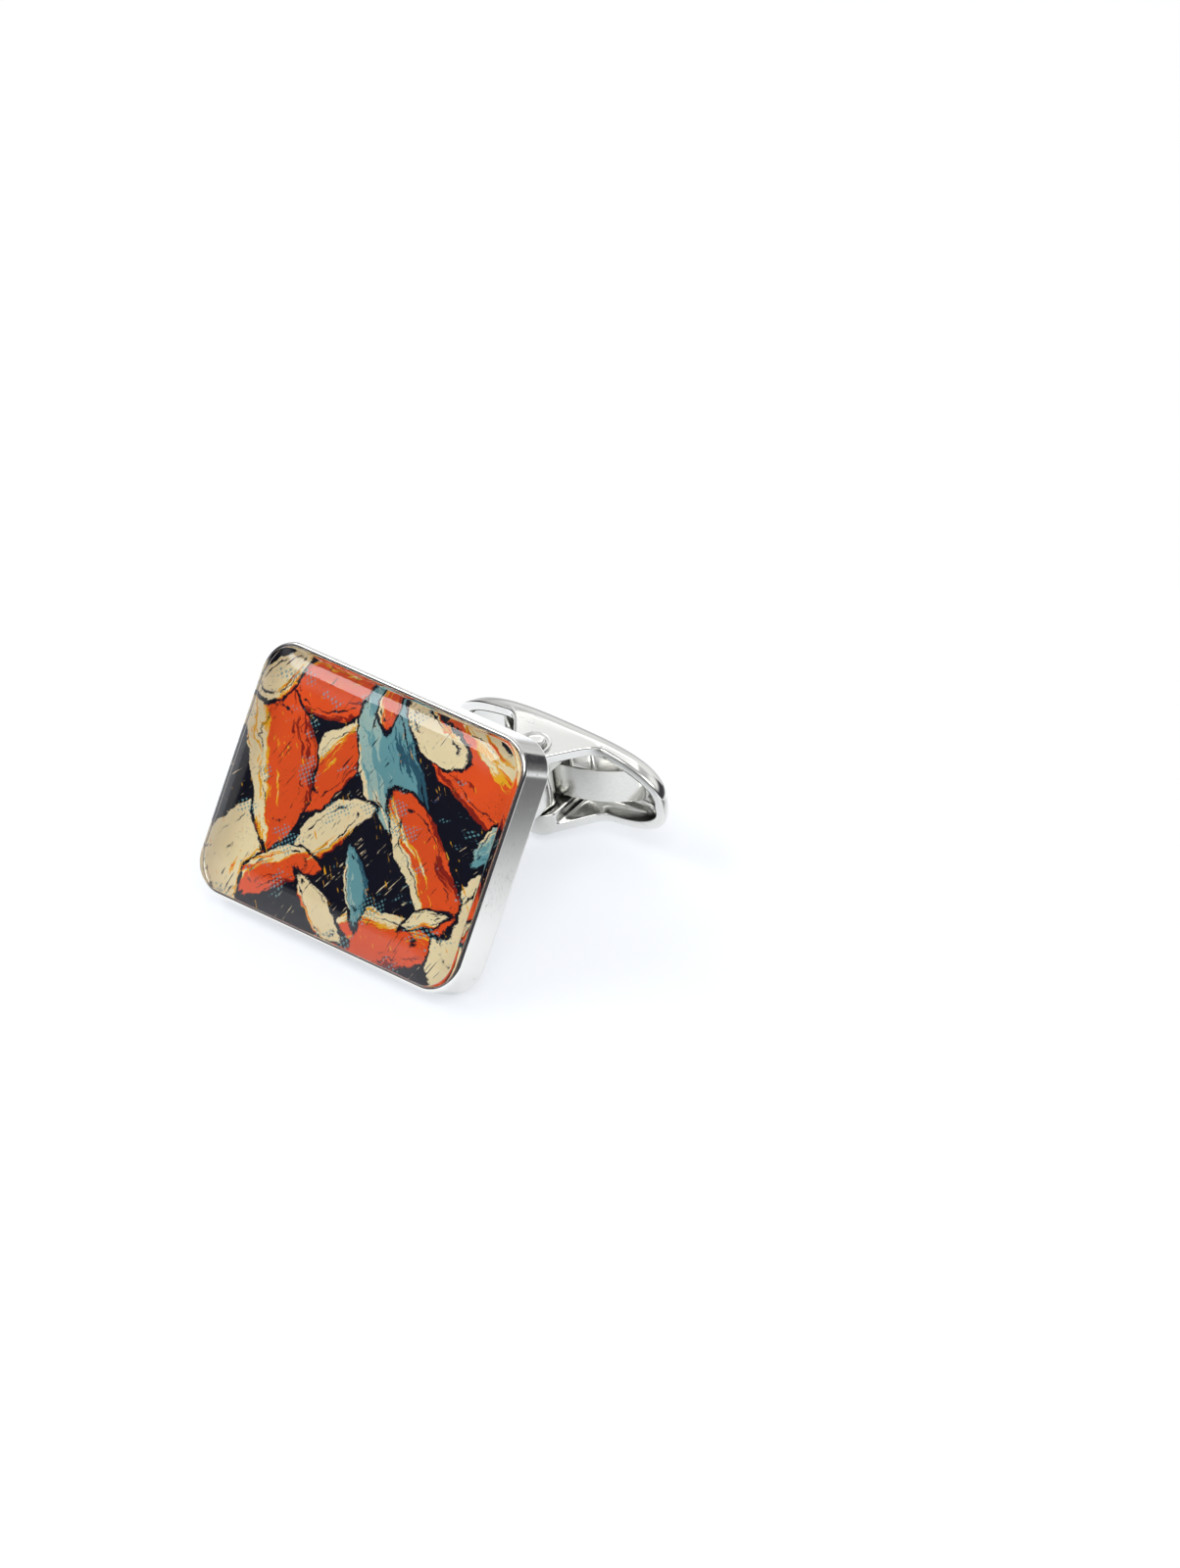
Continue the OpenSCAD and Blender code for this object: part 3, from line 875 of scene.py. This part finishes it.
class ToggleShape:
    """Sections of the hollow toggle, in the swivel's frame."""
    # Where along x the rim's rounding turns outwards, and over what length.
    LEAN_START, LEAN_RUN = 0.0026, 0.0015
    # Height of the yoke's end, and where the sections start to crowd.
    YOKE_RISE, TIP_START = 0.0013, 0.0042

    def __init__(self, s):
        self.s = s
        self.half_l, self.half_w, self.rim = s.toggle_l / 2, s.toggle_w / 2, -s.rim_drop
        reach = sqrt(s.lug_run ** 2 + s.rim_drop ** 2)
        touch = acos(s.lug_r / reach) - atan2(s.rim_drop, s.lug_run)
        self.touch_x, self.touch_z = s.lug_r * cos(touch), s.lug_r * sin(touch)

    def height(self, x):
        """Height of the rim's top: lug, ramp and flat rim."""
        s, rim, blend = self.s, self.rim, self.s.lug_blend
        if x <= self.touch_x:
            return sqrt(s.lug_r ** 2 - x * x)
        slope = (rim - self.touch_z) / (s.lug_run - self.touch_x)
        ramp = self.touch_z + (x - self.touch_x) * slope
        return max(ramp, rim) + max(blend - abs(ramp - rim), 0) ** 2 / (4 * blend)

    def plan(self, u):
        """Share of the width at a share of the half length."""
        return max(1 - abs(u) ** self.s.plan_power, 0) ** (1 / self.s.plan_power)

    def depth(self, u):
        """Share of the depth at a share of the half length."""
        return sqrt(max(1 - abs(u) ** self.s.side_power, 0))

    def outward(self, u):
        """Outward direction of the rim in plan."""
        if u >= 1:
            return 1, 0
        step = 1e-4
        a, b = max(u - step, 0), min(u + step, 1)
        dx, dy = (b - a) * self.half_l, (self.plan(b) - self.plan(a)) * self.half_w
        size = sqrt(dx * dx + dy * dy)
        return -dy / size, dx / size

    def section(self, x, hollow):
        """Half a section, from crown to rim to floor: the slot at hollow 0, the pocket at 1."""
        s, rim = self.s, self.rim
        u = min(x / self.half_l, 1)
        wide, deep, top = self.half_w * self.plan(u), s.crown_h * self.depth(u), self.height(x)
        nx, ny = self.outward(u)
        lean = soft((x - self.LEAN_START) / self.LEAN_RUN)
        nx, ny = nx * lean, ny * lean + (1 - lean)
        r = min(s.rim_r, 0.6 * deep)
        end = acos(min((r / deep) ** (1 / s.outer_power), 1)) if deep > MERGED else 0
        half = [(x, wide * fuller(sin(end * i / 20), s.outer_power),
                 rim - deep * fuller(cos(end * i / 20), s.outer_power)) for i in range(21)]
        half += [(x, wide, rim - r + (top - rim) * i / 6) for i in range(1, 7)]
        half += [(x - nx * q, wide - ny * q, top - p) for p, q in rounding(r, 5)]

        pocket_x, pocket_y = x - nx * s.wall_t, max(wide - ny * s.wall_t, 0)
        inner_u = min(pocket_x / (self.half_l - s.wall_t), 1)
        inner_deep = (s.crown_h - s.wall_t) * self.depth(inner_u)
        lip = min(s.lip_r, 0.5 * inner_deep)
        lip_round = rounding(lip, 4)
        pocket = [(x - nx * (s.wall_t - p), max(wide - ny * (s.wall_t - p), 0), top - q)
                  for p, q in lip_round]
        pocket += [(pocket_x, pocket_y, top - lip + (rim - top + lip) * i / 6)
                   for i in range(1, 7)]
        pocket += [(pocket_x, pocket_y * fuller(cos(pi / 2 * i / 16), s.inner_power),
                    rim - inner_deep * fuller(sin(pi / 2 * i / 16), s.inner_power))
                   for i in range(1, 17)]
        slot_y = s.slot_w / 2
        slot = [(x, slot_y + p, top - q) for p, q in lip_round]
        slot += [(x, slot_y, top - lip - (top - lip + s.slot_z) * i / 14) for i in range(1, 15)]
        slot += [(x, slot_y * (1 - i / 8), -s.slot_z) for i in range(1, 9)]
        return half + [tuple(a + (b - a) * hollow for a, b in zip(p, q))
                       for p, q in zip(slot, pocket)]

    def stations(self):
        """Places along x of the sections, and how hollow each is."""
        s, yoke, rise = self.s, self.s.yoke_half_l, self.YOKE_RISE
        rows = [(x, 0) for x in np.linspace(0, yoke - s.yoke_edge_r, 22)]
        rows += [(yoke - p, q / rise) for p, q in rounding(s.yoke_edge_r, 4)[1:]]
        rows += [(yoke, share_hollow) for share_hollow in (0.3, 0.5, 0.7)]
        rows += [(yoke + q, 1 - p / rise) for p, q in rounding(s.yoke_fillet, 4)]
        rows += [(x, 1) for x in np.linspace(yoke + s.yoke_fillet, self.TIP_START, 16)[1:]]
        return rows + [(self.half_l - (self.half_l - self.TIP_START) * t * t, 1)
                       for t in np.linspace(1, 0, 44)[1:]]

    def rings(self):
        """Closed rings from tip to tip."""
        def ring(half, side):
            return [(side * x, y, z) for x, y, z in half] + \
                   [(side * x, -y, z) for x, y, z in half[::-1][1:-1]]

        halves = [self.section(x, hollow) for x, hollow in self.stations()]
        return [ring(h, -1) for h in halves[::-1]] + [ring(h, 1) for h in halves[1:]]


class CUFFLINK_OT_toggle(BuildPiece):
    """Hollow toggle bar with its yoke, lugs and bosses"""

    def boss(self, s):
        """Profile of a boss: sunk in the wall, with a seat for the rivet's head."""
        wall, y, r = s.toggle_w / 2, s.toggle_w / 2 + s.boss_h, s.boss_d / 2
        sunk, edge_r, seat_r = 0.0003, 0.00005, 0.0002
        return [(0, wall - sunk), (r + 0.0001, wall - sunk), (r + 0.00006, wall + 0.00001),
                (r, wall + 0.00005), *((r - q, y - p) for p, q in rounding(edge_r, 3)),
                (r - seat_r, y), (r - seat_r - 0.00002, y - s.head_seat), (0, y - s.head_seat)]

    def make(self, context):
        s = context.scene.cufflink_toggle
        profile = self.boss(s)
        shells = [loft(ToggleShape(s).rings(), caps=False), lathe(profile, 56),
                  lathe([(r, -y) for r, y in profile], 56)]
        piece = build("toggle_shell", shells, swivel_place(), 40)
        dress(piece, "toggle", plated_metal("toggle_plate", 0.5), "toggle_plate", "toggle_bar")


class CUFFLINK_OT_leaf(BuildPiece):
    """Bowed leaf spring, from one pocket's floor under the tongue to the other's"""

    def make(self, context):
        s = context.scene.cufflink_toggle
        end_u = s.leaf_span / (s.toggle_l - 2 * s.wall_t)
        arch = s.rim_drop + (s.crown_h - s.wall_t) * ToggleShape(s).depth(end_u) - s.leaf_z
        bow_r = (s.leaf_span ** 2 / 4 + arch ** 2) / (2 * arch)
        turn_end, corner, steps = asin(s.leaf_span / 2 / bow_r), s.leaf_corner_r, 32
        edges = rounding(s.leaf_edge_r, 3)
        rows = []
        for i in range(2 * steps + 1):
            turn = turn_end * sin(pi / 2 * (i / steps - 1))
            left = (turn_end - abs(turn)) * bow_r
            inset = corner - sqrt(max(corner ** 2 - (corner - min(left, corner)) ** 2, 0))
            wide = s.leaf_w / 2 - inset
            edge = [(wide - p, bow_r - q) for p, q in edges]
            edge += [(wide - q, bow_r - s.leaf_t + p) for p, q in edges]
            edge += [(-y, r) for y, r in edge[::-1]]
            rows.append([(r * sin(turn), y, r * cos(turn) - bow_r - s.leaf_z) for y, r in edge])
        piece = build("bowed_leaf", [loft(rows)], swivel_place(), 40)
        dress(piece, "toggle", spring_steel(), "spring_steel", "leaf_spring")


class CUFFLINK_OT_rivet(BuildPiece):
    """Swivel rivet: a shank and two turned heads set by a node tree"""

    def head(self, s):
        """One head with an undercut seat, a short side and a dome."""
        r, h, edge_r = s.head_d / 2, s.head_h, 0.00004
        profile = [(0, 0), (r * 0.84, 0), (r * 0.86, h * 0.12), (r * 0.97, h * 0.2)]
        profile += [(r - q, h * 0.42 - p) for p, q in rounding(edge_r, 3)]
        profile += [(r * 0.97 * cos(a), h * 0.45 + h * 0.55 * sin(a))
                    for a in np.linspace(0.12, pi / 2, 12)]
        return build("rivet_head", [lathe([(x, -y) for x, y in profile], 56)], Matrix(), 50)

    def group(self, sizes, material):
        """Node tree that sets the heads at the pin's ends, with the shank between."""
        group = bpy.data.node_groups.new("rivet_heads", "GeometryNodeTree")
        sockets = [("Head", "INPUT", "NodeSocketGeometry")]
        sockets += [(name, "INPUT", "NodeSocketFloat") for name in sizes]
        for name, side, kind in [*sockets, ("Rivet", "OUTPUT", "NodeSocketGeometry")]:
            group.interface.new_socket(name, in_out=side, socket_type=kind)
        tree = Tree(group)
        given = tree.node("NodeGroupInput").outputs
        start, end = (tree.node("ShaderNodeCombineXYZ", {"Y": y}).outputs[0]
                      for y in (tree.times(given["Reach"], -1), given["Reach"]))
        line = {"Count": 2, "Start Location": start, "Offset": end}
        spots = tree.node("GeometryNodeMeshLine", line, mode="END_POINTS")
        half_turn = tree.times(tree.node("GeometryNodeInputIndex").outputs[0], pi)
        tilt = tree.node("ShaderNodeCombineXYZ", {"X": half_turn}).outputs[0]
        heads = tree.node("GeometryNodeInstanceOnPoints", {
            "Points": spots.outputs[0], "Instance": given["Head"], "Rotation": tilt})
        shank = tree.node("GeometryNodeMeshCylinder", {
            "Vertices": 40, "Depth": tree.times(given["Reach"], 2), "Radius": given["Radius"]})
        lie = {0: shank.outputs[0], "Rotation": (pi / 2, 0, 0)}
        laid = tree.node("GeometryNodeTransform", lie)
        join = tree.node("GeometryNodeJoinGeometry", {0: heads.outputs[0]})
        tree.feed(join.inputs[0], laid.outputs[0])
        real = tree.node("GeometryNodeRealizeInstances", {0: join.outputs[0]})
        done = tree.node("GeometryNodeSetMaterial", {0: real.outputs[0], "Material": material})
        tree.node("NodeGroupOutput", {0: done.outputs[0]})
        return group

    def make(self, context):
        s = context.scene.cufflink_toggle
        sizes = {"Reach": s.toggle_w / 2 + s.boss_h - s.head_seat, "Radius": s.rivet_d / 2}
        head = self.head(s)
        material = plated_metal("rivet_plate", 0.5)
        maker = head.modifiers.new("Rivet", "NODES")
        maker.node_group = self.group(sizes, material)
        for socket in maker.node_group.interface.items_tree:
            if socket.name in sizes:
                maker[socket.identifier] = sizes[socket.name]
        context.view_layer.update()
        made = head.evaluated_get(context.evaluated_depsgraph_get())
        mesh = bpy.data.meshes.new_from_object(made)
        bpy.data.objects.remove(head)
        mesh.transform(swivel_place())
        piece = smooth_piece("domed_rivet", mesh, 50)
        dress(piece, "toggle", material, "rivet_plate", "swivel_rivet")


class CUFFLINK_OT_stage(BuildPiece):
    """Pale floor, soft studio light and the camera"""
    FLOOR, AIM = ((-4, -4, 0), (4, -4, 0), (4, 4, 0), (-4, 4, 0)), (0, 0, 0.006)
    # Name, place, width, height and power of each lamp.
    LAMPS = (("soft_key", (-0.25, 0.34, 0.6), 0.46, 0.46, 0.55),
             ("soft_front", (0.34, -0.32, 0.54), 0.34, 0.34, 1.5),
             ("front_strip", (-0.325, -0.325, 0.525), 0.5, 0.14, 1.3))
    # The camera fitted to the photo: place from the pin, directions, roll and lens.
    CAMERA_SPOT, CAMERA_AHEAD = (0.35897, -0.43666, 0.31809), (-0.54954, 0.67647, -0.49029)
    CAMERA_RIGHT, CAMERA_ROLL = (0.77616, 0.63053, 0), -2.25
    SENSOR_WIDTH, FOCAL_LENGTH = 36, 304.83

    def floor(self):
        """The floor, which is not part of the cufflink."""
        mesh = bpy.data.meshes.new("stage_floor")
        mesh.from_pydata(self.FLOOR, [], [(0, 1, 2, 3)])
        mesh.materials.append(stage_floor())
        add_object("stage_floor", mesh)

    def lamps(self):
        """Soft lamps that point at the cufflink."""
        for name, spot, width, height, power in self.LAMPS:
            lamp = bpy.data.lights.new(name, "AREA")
            lamp.shape, lamp.size, lamp.size_y, lamp.energy = "RECTANGLE", width, height, power
            light = add_object(name, lamp)
            light.location = spot
            aim = Vector(self.AIM) - Vector(spot)
            light.rotation_euler = aim.to_track_quat("-Z", "Y").to_euler()

    def world(self, scene, stage):
        """White light from all round, seen in reflections as a dark room with a bright top."""
        world = bpy.data.worlds.new("studio")
        scene.world = world
        world.use_nodes = True
        world.node_tree.nodes.clear()
        sky = Tree(world.node_tree)
        look = sky.node("ShaderNodeTexCoord").outputs["Generated"]
        axes = sky.axes(look)
        behind = sky.ramp(sky.vector("DOT_PRODUCT", look, (-0.63, 0.78, 0)), 0.62, 0.82)
        wall_top = sky.line(behind, -0.75, 0.5)
        above = sky.ramp(sky.math("SUBTRACT", axes["Z"], wall_top), -0.13, 0.1)
        cloud = sky.ramp(sky.noise(look, 1.7, 1), 0.4, 0.6)
        dim = sky.times(sky.ramp(axes["X"], 0, -0.4), sky.ramp(axes["Z"], 0.66, 0.74))
        for part, slope, start in ((cloud, 0.5, 0.5), (behind, -0.09, 1), (dim, -0.75, 1)):
            above = sky.times(above, sky.line(part, slope, start))
        low = sky.line(axes["X"], 0.12, axes["Z"])
        sweep = sky.times(sky.ramp(low, 0.07, 0), 0.7)
        white = (1, 1, 1)
        shine = sky.reflected()
        room = sky.mix(stage.shade, white, sky.math("MAXIMUM", above, sweep))
        path = sky.node("ShaderNodeLightPath").outputs
        seen = sky.math("MAXIMUM", path["Is Camera Ray"], path["Is Transmission Ray"])
        seen = sky.math("MAXIMUM", seen, shine)
        strength = sky.line(sky.math("SUBTRACT", 1, seen), stage.daylight, seen)
        light = {0: sky.mix(white, room, shine), 1: strength}
        back = sky.node("ShaderNodeBackground", light)
        sky.node("ShaderNodeOutputWorld", {0: back.outputs[0]})

    def camera(self, scene):
        """The camera of the photo."""
        lens = bpy.data.cameras.new("camera")
        lens.sensor_fit = "HORIZONTAL"
        lens.sensor_width, lens.lens = self.SENSOR_WIDTH, self.FOCAL_LENGTH
        lens.clip_start, lens.clip_end = 0.01, 20
        camera = add_object("camera", lens)
        ahead = Vector(self.CAMERA_AHEAD).normalized()
        right = Vector(self.CAMERA_RIGHT).normalized()
        up = right.cross(ahead)
        roll = radians(self.CAMERA_ROLL)
        spot = Vector(HINGE["pos_m"]) + Vector(self.CAMERA_SPOT)
        camera.matrix_world = basis(right * cos(roll) - up * sin(roll),
                                    right * sin(roll) + up * cos(roll), -ahead, spot)
        scene.camera = camera
        scene.view_settings.view_transform = "Standard"

    def make(self, context):
        scene = context.scene
        self.floor()
        self.lamps()
        self.world(scene, scene.cufflink_stage)
        self.camera(scene)


STEPS = (CUFFLINK_OT_case, CUFFLINK_OT_print_film, CUFFLINK_OT_lens, CUFFLINK_OT_post,
         CUFFLINK_OT_toggle, CUFFLINK_OT_leaf, CUFFLINK_OT_rivet, CUFFLINK_OT_stage)


class CUFFLINK_PT_panel(bpy.types.Panel):
    """Sizes, colours and steps of the cufflink"""
    bl_idname = "CUFFLINK_PT_panel"
    bl_label = "Cufflink"
    bl_space_type = "VIEW_3D"
    bl_region_type = "UI"
    bl_category = "Cufflink"

    def draw(self, context):
        for step in STEPS:
            self.layout.operator(step.bl_idname)
        for key, group in GROUPS.items():
            box = self.layout.box()
            box.label(text=group.__doc__)
            for field in group.__annotations__:
                box.prop(getattr(context.scene, key), field)


CLASSES = (*GROUPS.values(), *STEPS, CUFFLINK_PT_panel)


def register():
    """Adds the settings, the operators and the panel."""
    for item in CLASSES:
        bpy.utils.register_class(item)
    for key, group in GROUPS.items():
        setattr(bpy.types.Scene, key, bpy.props.PointerProperty(type=group))


def unregister():
    """Takes them away again."""
    for key in GROUPS:
        delattr(bpy.types.Scene, key)
    for item in reversed(CLASSES):
        bpy.utils.unregister_class(item)


def main():
    """Adds the settings and builds every piece in order."""
    register()
    for step in STEPS:
        group, name = step.bl_idname.split(".")
        getattr(getattr(bpy.ops, group), name)()


if __name__ == "__main__":
    main()
